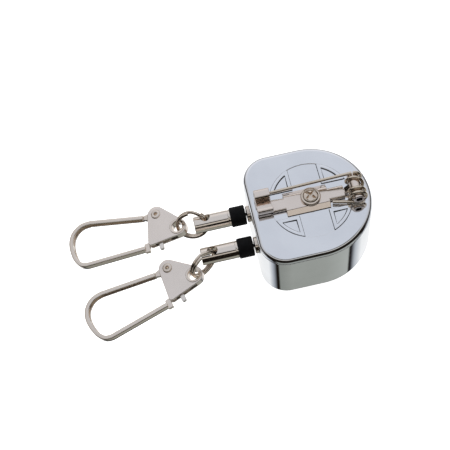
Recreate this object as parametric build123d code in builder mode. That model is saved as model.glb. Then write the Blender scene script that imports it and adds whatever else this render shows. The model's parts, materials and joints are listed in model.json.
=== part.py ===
"""Twin-tether pin-on retractor reel, modelled lying on its front face with the pin side up.

Millimetres. +Z is up, and the resting face is z = 0. The spool axis is the Z axis through the origin.
The flat side of the housing faces -X, and both tethers leave it along -X.
Two spools are stacked on one post. Each winds one cord, and its spiral spring draws the cord back in.
Each tether ends in a rubber bumper, a tubular ferrule, a split ring and a snap clip.
"""

from math import acos, atan2, cos, hypot, pi, radians, sin, sqrt
import os

from build123d import *

os.makedirs("parts", exist_ok=True)

# ---------------------------------------------------------------- housing
end_radius = 17.0          # radius of the round end, and half the width
axis_to_flat = 17.0        # spool axis to the flat side
corner_radius = 7.6        # the two corners of the flat side
height = 20.0              # front face to back face
wall = 1.0
floor_t = 1.0
cover_t = 1.1
cover_rim = 1.9            # height of the cover's rim above the seam
seam_gap = 0.12            # shadow line between case and cover
base_fillet = 0.9
cover_fillet = 1.15
spigot_h = 1.4             # the cover's locating rim inside the case
spigot_t = 0.8
spigot_fit = 0.08
medallion_r = 12.0         # shallow ring groove in the front face
medallion_w = 0.6
medallion_depth = 0.25
seam_z = height - cover_rim

# ---------------------------------------------------------------- relief on the back face
relief_r = 11.5
arm_w = 8.4                # width of the sunk cross
arm_depth = 0.25
rim_w = 1.3                # rim round each quadrant pocket
rim_h = 0.16
pocket_depth = 0.22

# ---------------------------------------------------------------- reel
post_r = 3.5
post_upper_r = 3.0
shoulder_z = height / 2 - 0.4
divider_t = 0.8
divider_inset = 0.25
divider_cut = 0.70         # share of the flat distance where the divider stops short
spool_h = 7.8
spool_r = 13.2
drum_r = 9.8
drum_wall = 0.8
web_t = 0.8
hub_r = 4.6
hub_h = 2.0
spool_fit = 0.06           # running clearance on the post
spool_gap = 0.4            # axial gap under each spool
cord_r = 0.45
winding_r = 11.7
winding_gap = 0.05
strip_t = 0.22             # spiral spring strip
strip_turns = 5.0
spring_in_r = 4.3
spring_out_r = 8.5
slot_w = 0.5
slot_deep = 0.9

# ---------------------------------------------------------------- tethers
outlet_y = 5.1             # both outlets, either side of the middle
outlet_z = height / 2
eyelet_flange_r = 2.35
eyelet_flange_t = 0.85
eyelet_barrel_r = 1.95
eyelet_bore_r = 0.95
eyelet_fit = 0.04
bumper_gap = 0.3
bumper_r = 2.87
bumper_l = 4.1
ferrule_r = 2.45
ferrule_l = 10.6
ferrule_bore_r = 1.65
ferrule_end_t = 1.7
spigot_r = 1.5
spigot_l = 2.6
cord_hole_r = 0.52
knot_r = 1.2
knot_l = 2.2
cross_hole_r = 1.5
cross_hole_from_end = 3.4

# ---------------------------------------------------------------- split ring
ring_r = 4.3               # mean radius
ring_wire_w = 0.86         # radial size of the wire
ring_wire_h = 0.76         # axial size of the wire
ring_pitch = 0.80          # between the two turns
ring_jog_deg = 50.0        # where the wire steps from one turn to the next
ring_first_deg = 132.0     # where the wire starts, from the ring's far side

# ---------------------------------------------------------------- snap clip, about the middle of its eye
eye_r = 2.65
eye_hole_r = 1.55
eyelet_wall = 0.32
eyelet_lip = 0.38
eyelet_lip_t = 0.22
clip_h = 2.4               # over both plates
plate_t = 0.5
rivet_xy = (-5.8, 5.65)
rivet_boss_r = 2.6
heel_xy = (-8.3, -2.8)
heel_r = 0.85
rivet_r = 0.85
rivet_bore_r = 0.45
rivet_head_r = 1.4
rivet_head_t = 0.4
loop_w = 1.25
loop_h = 2.2
loop_web = 0.38
tab_t = 1.1
lever_t = 1.0
lever_pin_xy = (-3.55, -1.55)
lever_pin_r = 0.45
pin_fit = 0.05

# ---------------------------------------------------------------- pin on the back
plate_gauge = 0.7
plate_top = 21.2
plate_half = 2.15          # half width of the flat top of the wide part
plate_foot = 3.65          # half width over its feet
neck_half = 1.9
wide_x = (-7.3, 5.0)
catch_x = (-15.1, -10.8)
wire_r = 0.44
coil_r = 2.15              # mean radius
coil_x = 12.5
coil_z = 22.9
coil_y = (2.65, -4.75)     # where the coil starts and ends
tongue_half = 0.75
barrel_fit = 0.08
barrel_bore_r = 0.9
needle_tip = (-13.4, 3.65, 21.95)
needle_taper = 4.0
screw_r = 1.5
screw_fit = 0.05
screw_head_r = 2.7
screw_head_h = 1.75
screw_slot_l = 3.5
screw_slot_w = 0.75
screw_slot_deep = 1.05
screw_end_z = 12.0


def save(builder, label):
    """Label a finished piece and write it."""
    builder.part.label = label
    export_step(builder.part, f"parts/{label}.step")


def d_profile(sketch, inset):
    """The housing outline moved inwards: a round end, and a flat side with rounded corners."""
    radius = end_radius - inset
    flat = axis_to_flat - inset
    Circle(radius)
    with Locations((-flat / 2, 0)):
        Rectangle(flat, 2 * radius)
    corners = sketch.vertices().group_by(Axis.X)[0]
    fillet(corners, corner_radius - inset)


def rim_edges(builder, radius):
    """Circular edges of one radius."""
    circles = builder.edges().filter_by(GeomType.CIRCLE)
    return circles.filter_by(lambda edge: abs(edge.radius - radius) < 1e-4)


# ================================================================ case
with BuildPart() as case_shell:
    with BuildSketch() as outer:
        d_profile(outer, 0)
    extrude(amount=seam_z)
    fillet(case_shell.faces().sort_by(Axis.Z)[0].edges(), base_fillet)
    with BuildSketch(Plane.XY.offset(floor_t)) as inner:
        d_profile(inner, wall)
    extrude(amount=seam_z, mode=Mode.SUBTRACT)
    # shallow ring groove in the front face
    with BuildSketch() as groove:
        Circle(medallion_r + medallion_w / 2)
        Circle(medallion_r - medallion_w / 2, mode=Mode.SUBTRACT)
    extrude(amount=medallion_depth, mode=Mode.SUBTRACT)
    # the two cord outlets
    for side in (1, -1):
        with Locations((-axis_to_flat, side * outlet_y, outlet_z)):
            Cylinder(eyelet_barrel_r + eyelet_fit, 4 * wall, rotation=(0, 90, 0), mode=Mode.SUBTRACT)
save(case_shell, "case_shell")

# ================================================================ back cover
with BuildPart() as back_cover:
    with BuildSketch(Plane.XY.offset(seam_z + seam_gap)) as outer:
        d_profile(outer, 0)
    extrude(amount=cover_rim - seam_gap)
    fillet(back_cover.faces().sort_by(Axis.Z)[-1].edges(), cover_fillet)
    with BuildSketch(Plane.XY.offset(seam_z)) as inner:
        d_profile(inner, wall + spigot_fit + spigot_t)
    extrude(amount=cover_rim - cover_t, mode=Mode.SUBTRACT)
    # locating rim that drops inside the case
    with BuildSketch(Plane.XY.offset(seam_z - spigot_h)) as rim:
        d_profile(rim, wall + spigot_fit)
    extrude(amount=spigot_h + cover_rim - cover_t)
    with BuildSketch(Plane.XY.offset(seam_z - spigot_h)) as rim_hole:
        d_profile(rim_hole, wall + spigot_fit + spigot_t)
    extrude(amount=spigot_h + cover_rim - cover_t, mode=Mode.SUBTRACT)
    # sunk cross inside the relief circle
    with BuildSketch(Plane.XY.offset(height)):
        Rectangle(2 * relief_r, arm_w)
        Rectangle(arm_w, 2 * relief_r)
        Circle(relief_r, mode=Mode.INTERSECT)
    extrude(amount=-arm_depth, mode=Mode.SUBTRACT)
    # raised rims round the four quadrants
    with BuildSketch(Plane.XY.offset(height - arm_depth)):
        Circle(relief_r)
        Rectangle(3 * relief_r, arm_w, mode=Mode.SUBTRACT)
        Rectangle(arm_w, 3 * relief_r, mode=Mode.SUBTRACT)
    extrude(amount=arm_depth + rim_h)
    # pockets inside the rims
    with BuildSketch(Plane.XY.offset(height + rim_h)):
        Circle(relief_r - rim_w)
        Rectangle(3 * relief_r, arm_w + 2 * rim_w, mode=Mode.SUBTRACT)
        Rectangle(arm_w + 2 * rim_w, 3 * relief_r, mode=Mode.SUBTRACT)
    extrude(amount=-(rim_h + pocket_depth), mode=Mode.SUBTRACT)
    # clearance for the pin screw
    with Locations((0, 0, height)):
        Cylinder(screw_r + 2 * screw_fit, 6 * cover_t, mode=Mode.SUBTRACT)
save(back_cover, "back_cover")

# ================================================================ post and divider
spool_base = {1: shoulder_z + divider_t + spool_gap, -1: floor_t + spool_gap}
under_cover = height - cover_t

with BuildPart() as centre_post:
    with Locations((0, 0, (floor_t + shoulder_z) / 2)):
        Cylinder(post_r, shoulder_z - floor_t)
    with Locations((0, 0, (shoulder_z + under_cover) / 2)):
        Cylinder(post_upper_r, under_cover - shoulder_z)
    with Locations((0, 0, (screw_end_z + under_cover) / 2)):
        Cylinder(screw_r + screw_fit, under_cover - screw_end_z, mode=Mode.SUBTRACT)
    # slots that hold the inner ends of the spiral springs
    for side in (1, -1):
        radius = post_upper_r if side > 0 else post_r
        with Locations((radius, 0, spool_base[side] + spool_h / 2 + hub_h / 2)):
            Box(2 * slot_deep, slot_w, spool_h - hub_h, mode=Mode.SUBTRACT)
save(centre_post, "centre_post")

with BuildPart() as divider_plate:
    with BuildSketch(Plane.XY.offset(shoulder_z)) as sheet:
        d_profile(sheet, wall + divider_inset)
        Circle(post_upper_r + spool_fit, mode=Mode.SUBTRACT)
        # the divider stops short of the outlets, so each cord can reach its own
        with Locations((-axis_to_flat, 0)):
            Rectangle(2 * axis_to_flat * (1 - divider_cut), 4 * outlet_y, mode=Mode.SUBTRACT)
    extrude(amount=divider_t)
save(divider_plate, "divider_plate")


def make_reel(side, word):
    """One spool with its spiral spring, its winding and the cord that runs to its outlet."""
    base = spool_base[side]
    top = base + spool_h
    middle = base + spool_h / 2
    bore = (post_upper_r if side > 0 else post_r) + spool_fit

    with BuildPart() as spool:
        with BuildSketch(Plane.XZ):
            with BuildLine():
                Polyline(
                    (bore, base),
                    (spool_r, base),
                    (spool_r, base + web_t),
                    (drum_r, base + web_t),
                    (drum_r, top - web_t),
                    (spool_r, top - web_t),
                    (spool_r, top),
                    (drum_r - drum_wall, top),
                    (drum_r - drum_wall, base + web_t),
                    (hub_r, base + web_t),
                    (hub_r, base + hub_h),
                    (bore, base + hub_h),
                    close=True,
                )
            make_face()
        revolve(axis=Axis.Z)
        # lightening holes in the web
        with Locations((0, 0, base + web_t / 2)):
            with PolarLocations((hub_r + drum_r - drum_wall) / 2, 6):
                Cylinder(1.2, 2 * web_t, mode=Mode.SUBTRACT)
    save(spool, f"spool_{word}")

    with BuildPart() as winding:
        inner_r = drum_r + winding_gap
        with BuildSketch(Plane.XZ) as pack:
            with Locations(((inner_r + winding_r) / 2, middle)):
                Rectangle(winding_r - inner_r, spool_h - 2 * web_t - 2 * winding_gap)
            fillet(pack.vertices().group_by(Axis.X)[-1], 0.45)
        revolve(axis=Axis.Z)
    save(winding, f"cord_winding_{word}")

    # spiral spring: a strip between two close spirals, with a tab bent into the post's slot
    low = base + hub_h + 0.4
    tall = top - 0.5 - low
    steps = int(16 * strip_turns)
    inner = []
    outer = []
    for i in range(steps + 1):
        share = i / steps
        angle = side * 2 * pi * strip_turns * share
        radius = spring_in_r + (spring_out_r - spring_in_r) * share
        inner.append(((radius - strip_t / 2) * cos(angle), (radius - strip_t / 2) * sin(angle)))
        outer.append(((radius + strip_t / 2) * cos(angle), (radius + strip_t / 2) * sin(angle)))
    post_here = post_upper_r if side > 0 else post_r
    with BuildPart() as spiral:
        with BuildSketch(Plane.XY.offset(low)):
            with BuildLine():
                Spline(*inner)
                Line(inner[-1], outer[-1])
                Spline(*outer)
                Line(outer[0], inner[0])
            make_face()
            tab_in = post_here - 0.6 * slot_deep
            with Locations(((tab_in + spring_in_r) / 2, 0)):
                Rectangle(spring_in_r - tab_in, strip_t)
        extrude(amount=tall)
    save(spiral, f"spiral_spring_{word}")

    # the cord leaves the winding along its tangent, and bends into the outlet
    touch_r = winding_r + cord_r + winding_gap
    bend = (-axis_to_flat + wall + 1.1, side * outlet_y, outlet_z)
    away = hypot(bend[0], bend[1])
    heading = atan2(bend[1], bend[0]) - side * acos(touch_r / away)
    touch = (touch_r * cos(heading), touch_r * sin(heading), middle)
    mouth = (-axis_to_flat - eyelet_flange_t - 0.1, side * outlet_y, outlet_z)
    with BuildPart() as cord:
        with BuildLine() as run:
            FilletPolyline(touch, bend, mouth, radius=1.2)
        with BuildSketch(Plane(origin=run.line @ 0, z_dir=run.line % 0)):
            Circle(cord_r)
        sweep()
    save(cord, f"cord_run_{word}")

    with BuildPart() as eyelet:
        outside = -axis_to_flat - eyelet_flange_t / 2
        with Locations((outside, side * outlet_y, outlet_z)):
            Cylinder(eyelet_flange_r, eyelet_flange_t, rotation=(0, 90, 0))
        fillet(eyelet.edges().filter_by(GeomType.CIRCLE).sort_by(Axis.X)[0], 0.4 * eyelet_flange_t)
        with Locations((-axis_to_flat + wall / 2 + 0.2, side * outlet_y, outlet_z)):
            Cylinder(eyelet_barrel_r, wall + 0.4, rotation=(0, 90, 0))
        with Locations((-axis_to_flat + wall + 0.25, side * outlet_y, outlet_z)):
            Cylinder(eyelet_flange_r, 0.4, rotation=(0, 90, 0))
        with Locations((-axis_to_flat, side * outlet_y, outlet_z)):
            Cylinder(eyelet_bore_r, 8 * wall, rotation=(0, 90, 0), mode=Mode.SUBTRACT)
    save(eyelet, f"outlet_eyelet_{word}")


def make_tether(side, word, hole_axis):
    """Bumper, ferrule and the knotted end of the cord."""
    start = -axis_to_flat - eyelet_flange_t - bumper_gap
    seat = start - bumper_l
    end = seat - ferrule_l
    along = (0, 90, 0)

    with BuildPart() as bumper:
        with Locations(((start + seat) / 2, side * outlet_y, outlet_z)):
            Cylinder(bumper_r, bumper_l, rotation=along)
        fillet(rim_edges(bumper, bumper_r), 0.3)
        with Locations(((start + seat) / 2, side * outlet_y, outlet_z)):
            Cylinder(cord_hole_r, 2 * bumper_l, rotation=along, mode=Mode.SUBTRACT)
        with Locations((seat + (spigot_l + 0.1) / 2, side * outlet_y, outlet_z)):
            Cylinder(spigot_r + 0.03, spigot_l + 0.1, rotation=along, mode=Mode.SUBTRACT)
    save(bumper, f"bumper_{word}")

    with BuildPart() as ferrule:
        with Locations(((seat + end) / 2, side * outlet_y, outlet_z)):
            Cylinder(ferrule_r, ferrule_l, rotation=along)
        chamfer(rim_edges(ferrule, ferrule_r), 0.22)
        with Locations((seat + spigot_l / 2, side * outlet_y, outlet_z)):
            Cylinder(spigot_r, spigot_l, rotation=along)
        bore_l = ferrule_l - ferrule_end_t
        with Locations((end + bore_l / 2, side * outlet_y, outlet_z)):
            Cylinder(ferrule_bore_r, bore_l, rotation=along, mode=Mode.SUBTRACT)
        with Locations((seat, side * outlet_y, outlet_z)):
            Cylinder(cord_hole_r, 4 * spigot_l, rotation=along, mode=Mode.SUBTRACT)
        hole_at = Plane(origin=(end + cross_hole_from_end, side * outlet_y, outlet_z), z_dir=hole_axis)
        with Locations(hole_at.location):
            Cylinder(cross_hole_r, 4 * ferrule_r, mode=Mode.SUBTRACT)
    save(ferrule, f"ferrule_{word}")

    with BuildPart() as lead:
        knot_x = seat - ferrule_end_t - knot_l / 2 - 0.02
        with Locations((knot_x, side * outlet_y, outlet_z)):
            Cylinder(knot_r, knot_l, rotation=along)
        fillet(rim_edges(lead, knot_r), 0.4 * knot_l)
        with Locations(((start + knot_x) / 2, side * outlet_y, outlet_z)):
            Cylinder(cord_r, start - knot_x, rotation=along)
    save(lead, f"cord_knot_{word}")
    return Vector(end + cross_hole_from_end, side * outlet_y, outlet_z)


def make_ring(word, centre, far, up):
    """A split ring of two flat turns. far points from the ferrule to the far side, up along its hole."""
    normal = up.cross(far).normalized()
    first = radians(ring_first_deg)
    jog = radians(ring_jog_deg)
    count = 48
    points = []
    for i in range(count + 1):
        turned = (4 * pi - jog) * i / count
        step = min(1, max(0, (turned - (2 * pi - jog)) / jog))
        rise = ring_pitch * (step * step * (3 - 2 * step) - 0.5)
        angle = first + turned
        points.append(centre + (far * cos(angle) + up * sin(angle)) * ring_r + normal * rise)
    with BuildPart() as ring:
        with BuildLine() as coil:
            Spline(*points)
        outward = (points[0] - centre).normalized()
        with BuildSketch(Plane(origin=coil.line @ 0, z_dir=coil.line % 0, x_dir=outward)):
            RectangleRounded(ring_wire_w, ring_wire_h, 0.2)
        sweep(path=coil.line, is_frenet=True)
    save(ring, f"split_ring_{word}")


def sides(path, low, high, count):
    """Points along a flat path, low and high to its left."""
    near = []
    away = []
    for i in range(count + 1):
        at = path.position_at(i / count)
        heading = path.tangent_at(i / count)
        left = Vector(-heading.Y, heading.X, 0)
        near.append(at + left * low)
        away.append(at + left * high)
    return near, away


def make_clip(word, frame):
    """A snap clip in its own plane: the eye is at the origin, the loop reaches along -X."""
    half = clip_h / 2
    inside = half - plate_t
    rx, ry = rivet_xy

    with BuildPart(frame) as body:
        with BuildSketch(frame.offset(-half)) as outline:
            with Locations(rivet_xy):
                Circle(rivet_boss_r)
            with Locations((0, 0)):
                Circle(eye_r)
            with Locations(heel_xy):
                Circle(heel_r)
            make_hull(outline.edges())
        extrude(amount=clip_h)
        faces = body.faces().sort_by(Axis(frame.origin, frame.z_dir))
        chamfer(faces[-1].edges(), 0.12)
        chamfer(body.faces().sort_by(Axis(frame.origin, frame.z_dir))[0].edges(), 0.12)
        # the gap between the plates, closed only by the fold round the eye
        with BuildSketch(frame.offset(-inside)):
            with Locations((-20.4, 0)):
                Rectangle(40, 40)
            with Locations((0, 0)):
                Circle(eye_r - plate_t)
        extrude(amount=2 * inside, mode=Mode.SUBTRACT)
        with Locations((0, 0, 0)):
            Cylinder(eye_hole_r + eyelet_wall + 0.03, 2 * clip_h, mode=Mode.SUBTRACT)
        with Locations((rx, ry, 0)):
            Cylinder(rivet_r + 0.03, 2 * clip_h, mode=Mode.SUBTRACT)
        with Locations((*lever_pin_xy, 0)):
            Cylinder(lever_pin_r + 0.02, 2 * clip_h, mode=Mode.SUBTRACT)
    save(body, f"clip_body_{word}")

    with BuildPart(frame) as eyelet:
        barrel = eye_hole_r + eyelet_wall
        Cylinder(barrel, clip_h + 2 * eyelet_lip_t)
        for sign in (1, -1):
            with Locations((0, 0, sign * (half + eyelet_lip_t / 2 + 0.01))):
                Cylinder(barrel + eyelet_lip, eyelet_lip_t)
        Cylinder(eye_hole_r, 2 * clip_h, mode=Mode.SUBTRACT)
        fillet(rim_edges(eyelet, eye_hole_r), 0.28)
    save(eyelet, f"clip_eyelet_{word}")

    with BuildPart(frame) as rivet:
        with Locations((rx, ry, 0)):
            Cylinder(rivet_r, clip_h + 2 * rivet_head_t)
        for sign in (1, -1):
            with Locations((rx, ry, sign * (half + rivet_head_t / 2 + 0.01))):
                Cylinder(rivet_head_r, rivet_head_t)
        with Locations((rx, ry, 0)):
            Cylinder(rivet_bore_r, 2 * clip_h, mode=Mode.SUBTRACT)
        tops = [edge for edge in rim_edges(rivet, rivet_head_r)]
        tops.sort(key=lambda edge: abs((edge.center() - frame.origin).dot(frame.z_dir)))
        fillet(tops[2:], 0.22)
    save(rivet, f"clip_rivet_{word}")

    # the loop: a channel bent on edge, with a flat tab at each end
    arm_a = (rx - 4.1, ry + 0.25)
    arm_b = (rx - 20.2, ry + 3.3)
    nose = (rx - 26.6, ry - 1.5)
    arm_c = (rx - 22.4, ry - 9.95)
    arm_d = (rx - 4.5, ry - 9.65)
    with BuildLine() as path:
        Line(arm_a, arm_b)
        Spline(
            arm_b,
            (rx - 24.9, ry + 1.75),
            nose,
            (rx - 25.9, ry - 6.9),
            arm_c,
            tangents=((arm_b[0] - arm_a[0], arm_b[1] - arm_a[1]), (arm_d[0] - arm_c[0], arm_d[1] - arm_c[1])),
        )
        Line(arm_c, arm_d)
    bent = path.wire()
    outer_side, inner_side = sides(bent, -loop_w / 2, loop_w / 2, 30)
    hollow_out, hollow_in = sides(bent, loop_web - loop_w / 2, loop_w, 30)
    with BuildPart(frame) as loop:
        with BuildSketch(frame.offset(-loop_h / 2)):
            with BuildLine():
                Spline(*outer_side)
                Line(outer_side[-1], inner_side[-1])
                Spline(*inner_side)
                Line(inner_side[0], outer_side[0])
            make_face()
        extrude(amount=loop_h)
        # hollow side of the channel, facing the inside of the loop
        with BuildSketch(frame.offset(loop_web - loop_h / 2)):
            with BuildLine():
                Spline(*hollow_out)
                Line(hollow_out[-1], hollow_in[-1])
                Spline(*hollow_in)
                Line(hollow_in[0], hollow_out[0])
            make_face()
        extrude(amount=loop_h - 2 * loop_web, mode=Mode.SUBTRACT)
        # end tabs
        with BuildSketch(frame.offset(-tab_t / 2)) as upper_tab:
            with Locations(rivet_xy):
                Circle(1.75)
            with Locations((arm_a[0] + 0.1, arm_a[1])):
                Circle(loop_w / 2)
            make_hull(upper_tab.edges())
        extrude(amount=tab_t)
        with BuildSketch(frame.offset(-tab_t / 2)):
            with Locations((arm_d[0] + 0.55, arm_d[1] + 0.1)):
                Rectangle(1.6, 2.7)
            with Locations((arm_d[0] + 1.9, arm_d[1] + 1.15)):
                Rectangle(2.2, 0.9)
        extrude(amount=tab_t)
        with Locations((rx, ry, 0)):
            Cylinder(rivet_r + pin_fit, 2 * clip_h, mode=Mode.SUBTRACT)
    save(loop, f"clip_loop_{word}")

    # latch lever on its own pin between the plates, with a thumb nub below the edge
    px, py = lever_pin_xy
    with BuildPart(frame) as lever:
        with BuildSketch(frame.offset(-lever_t / 2)) as arm:
            with Locations((px, py)):
                Circle(0.95)
            with Locations((px - 4.5, py - 0.15)):
                Circle(0.5)
            make_hull(arm.edges())
        extrude(amount=lever_t)
        with BuildSketch(frame.offset(-lever_t / 2)) as nub:
            with Locations((px - 1.95, py - 1.9)):
                Rectangle(1.25, 3.9)
            fillet(nub.vertices().group_by(Axis.Y)[0], 0.5)
        extrude(amount=lever_t)
        with Locations((px, py, 0)):
            Cylinder(lever_pin_r + pin_fit, 2 * clip_h, mode=Mode.SUBTRACT)
    save(lever, f"clip_lever_{word}")

    with BuildPart(frame) as pin:
        with Locations((px, py, 0)):
            Cylinder(lever_pin_r, clip_h - 0.1)
    save(pin, f"clip_pin_{word}")

    # leaf spring standing on the lever, curving up between the plates
    with BuildLine() as bow:
        Spline(
            (px - 0.4, py + 1.1),
            (px - 1.2, py + 1.05),
            (px - 2.6, py + 1.75),
            (px - 4.6, py + 3.1),
        )
    low_side, high_side = sides(bow.wire(), -0.1, 0.1, 12)
    with BuildPart(frame) as leaf:
        with BuildSketch(frame.offset(-lever_t / 2)):
            with BuildLine():
                Spline(*low_side)
                Line(low_side[-1], high_side[-1])
                Spline(*high_side)
                Line(high_side[0], low_side[0])
            make_face()
        extrude(amount=lever_t)
    save(leaf, f"clip_spring_{word}")


# ================================================================ reels and tethers
words = {1: "upper", -1: "lower"}
# lean of the ferrule's cross hole, swing of the ring, drop of the eye on the ring
lean = {1: 24.0, -1: 5.0}
swing = {1: 10.0, -1: -34.0}
drop = {1: 9.0, -1: 27.0}
# heading of the clip in plan, and its slope down to the surface
clip_turn = {1: -3.5, -1: 12.8}
clip_slope = {1: 12.2, -1: 11.5}
ring_seat = 0.39           # the wire's bow is centred in the cross hole

for side, word in words.items():
    make_reel(side, word)
    tilt = radians(lean[side])
    up = Vector(0, sin(tilt), cos(tilt))
    level = Vector(0, cos(tilt), -sin(tilt))
    turn = radians(swing[side])
    far = Vector(-1, 0, 0) * cos(turn) + level * sin(turn)
    hole = make_tether(side, word, up)
    ring_centre = hole + far * (ring_r - ring_seat)
    make_ring(word, ring_centre, far, up)
    down = radians(drop[side])
    eye_at = ring_centre + (far * cos(down) - up * sin(down)) * ring_r
    plan = radians(clip_turn[side])
    slope = radians(clip_slope[side])
    along = Vector(cos(plan), sin(plan), 0)
    clip_x = along * cos(slope) + Vector(0, 0, 1) * sin(slope)
    clip_z = Vector(0, 0, 1) * cos(slope) - along * sin(slope)
    make_clip(word, Plane(origin=eye_at, x_dir=clip_x, z_dir=clip_z))

# ================================================================ pin on the back
plate_low = height - arm_depth
under = plate_top - plate_gauge

with BuildPart() as pin_plate:
    # arched wide part, standing on its two feet
    with BuildSketch(Plane.YZ.offset(wide_x[0])):
        with BuildLine():
            Polyline(
                (-plate_foot, plate_low),
                (-plate_half, plate_top),
                (plate_half, plate_top),
                (plate_foot, plate_low),
                (plate_foot - plate_gauge, plate_low),
                (plate_half - 0.35, under),
                (-plate_half + 0.35, under),
                (-plate_foot + plate_gauge, plate_low),
                close=True,
            )
        make_face()
    extrude(amount=wide_x[1] - wide_x[0])
    # narrow necks to the catch and to the coil, with turned-down edges
    neck_far = coil_x - 3.3
    for low_x, high_x in ((catch_x[1], wide_x[0]), (wide_x[1], neck_far)):
        with Locations(((low_x + high_x) / 2, 0, (plate_top + under) / 2)):
            Box(high_x - low_x, 2 * neck_half, plate_gauge)
        for sign in (1, -1):
            with Locations(((low_x + high_x) / 2, sign * (neck_half - 0.3), under - 0.2)):
                Box(high_x - low_x, 0.6, 0.5)
    # catch: floor, far wall and hood over the point, with a low near lip
    with BuildSketch(Plane.YZ.offset(catch_x[0])) as catch:
        floor_mid = (plate_top + under) / 2
        with Locations(((needle_tip[1] + 1.35 - 1.9) / 2, floor_mid)):
            Rectangle(needle_tip[1] + 1.35 + 1.9, plate_gauge)
        with Locations((needle_tip[1] + 1.0, (under + needle_tip[2] + 1.9) / 2)):
            Rectangle(plate_gauge, needle_tip[2] + 1.9 - under)
        with Locations((needle_tip[1] + 0.15, needle_tip[2] + 1.55)):
            Rectangle(2.4, plate_gauge)
        with Locations((-1.6, (under + plate_top + 0.8) / 2)):
            Rectangle(0.6, plate_top + 0.8 - under)
        outer_corners = catch.vertices().sort_by(Axis.X)[-2:]
        fillet(outer_corners, 0.65)
    extrude(amount=catch_x[1] - catch_x[0])
    # tongue up to the rolled barrel that carries the coil
    barrel_r = coil_r - wire_r - barrel_fit
    with BuildSketch(Plane.XZ.offset(-tongue_half)):
        with BuildLine():
            Polyline(
                (neck_far - 0.3, under),
                (neck_far + 0.9, under),
                (coil_x - 0.7, coil_z - barrel_r + 0.2),
                (coil_x - 1.0, coil_z + 0.6),
                (neck_far + 0.3, plate_top),
                (neck_far - 0.3, plate_top),
                close=True,
            )
        make_face()
    extrude(amount=2 * tongue_half)
    with Locations((coil_x, (coil_y[0] + coil_y[1]) / 2, coil_z)):
        Cylinder(barrel_r, coil_y[0] - coil_y[1] + 2 * wire_r, rotation=(90, 0, 0))
        Cylinder(barrel_bore_r, 2 * (coil_y[0] - coil_y[1]), rotation=(90, 0, 0), mode=Mode.SUBTRACT)
    Cylinder(screw_r + screw_fit, 4 * height, mode=Mode.SUBTRACT)
save(pin_plate, "pin_plate")

# coil: one turn, a long step past the tongue, three turns, then the leg that anchors it
far_turns = 1.0
step_turns = 0.5
near_turns = 3.0
gap_y = (tongue_half + wire_r + 0.1, -tongue_half - wire_r - 0.1)
samples = 14
points = []
total = far_turns + step_turns + near_turns
count = int(samples * total)
for i in range(count + 1):
    turned = total * i / count
    if turned < far_turns:
        y = coil_y[0] + (gap_y[0] - coil_y[0]) * turned / far_turns
    elif turned < far_turns + step_turns:
        y = gap_y[0] + (gap_y[1] - gap_y[0]) * (turned - far_turns) / step_turns
    else:
        y = gap_y[1] + (coil_y[1] - gap_y[1]) * (turned - far_turns - step_turns) / near_turns
    angle = pi / 2 - 2 * pi * turned
    points.append((coil_x + coil_r * cos(angle), y, coil_z + coil_r * sin(angle)))
with BuildPart() as pin_coil:
    with BuildLine() as wire:
        Spline(*points)
    with BuildSketch(Plane(origin=wire.line @ 0, z_dir=wire.line % 0)):
        Circle(wire_r)
    sweep()
    leg_from = Vector(*points[-1])
    leg_to = Vector(wide_x[1] + 0.6, -neck_half - wire_r - 0.25, coil_z - coil_r)
    with Locations(leg_from):
        Sphere(wire_r)
    with BuildSketch(Plane(origin=leg_from, z_dir=leg_to - leg_from)):
        Circle(wire_r)
    extrude(amount=(leg_to - leg_from).length)
save(pin_coil, "pin_coil")

with BuildPart() as pin_needle:
    root = Vector(coil_x - 0.35, coil_y[0], coil_z + coil_r)
    tip = Vector(*needle_tip)
    reach = tip - root
    shaft_l = reach.length - needle_taper
    shaft = Plane(origin=root, z_dir=reach)
    with BuildSketch(shaft):
        Circle(wire_r)
    extrude(amount=shaft_l)
    with BuildSketch(shaft.offset(shaft_l)):
        Circle(wire_r)
    with BuildSketch(shaft.offset(reach.length)):
        Circle(0.08)
    loft()
save(pin_needle, "pin_needle")

with BuildPart() as pin_screw:
    with Locations((0, 0, plate_top + screw_head_h / 2)):
        Cylinder(screw_head_r, screw_head_h)
    fillet(pin_screw.edges().sort_by(Axis.Z)[-1], 0.55 * screw_head_h)
    with Locations((0, 0, (screw_end_z + plate_top) / 2)):
        Cylinder(screw_r, plate_top - screw_end_z)
    with Locations((0, 0, plate_top + screw_head_h - screw_slot_deep / 2)):
        Box(screw_slot_l, screw_slot_w, screw_slot_deep, mode=Mode.SUBTRACT)
        Box(screw_slot_w, screw_slot_l, screw_slot_deep, mode=Mode.SUBTRACT)
save(pin_screw, "pin_screw")
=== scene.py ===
import json
from math import acos, atan2, cos, hypot, pi, radians, sin, sqrt

import bpy
from mathutils import Matrix, Vector


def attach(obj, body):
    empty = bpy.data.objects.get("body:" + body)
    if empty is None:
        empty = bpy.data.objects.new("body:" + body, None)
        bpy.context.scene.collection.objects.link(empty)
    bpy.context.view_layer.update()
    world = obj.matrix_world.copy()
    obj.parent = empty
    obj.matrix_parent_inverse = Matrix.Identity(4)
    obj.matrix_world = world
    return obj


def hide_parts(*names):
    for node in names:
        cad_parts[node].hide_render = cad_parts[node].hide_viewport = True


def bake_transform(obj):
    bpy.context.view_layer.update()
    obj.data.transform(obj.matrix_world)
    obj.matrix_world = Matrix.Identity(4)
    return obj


MM = 0.001

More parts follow.
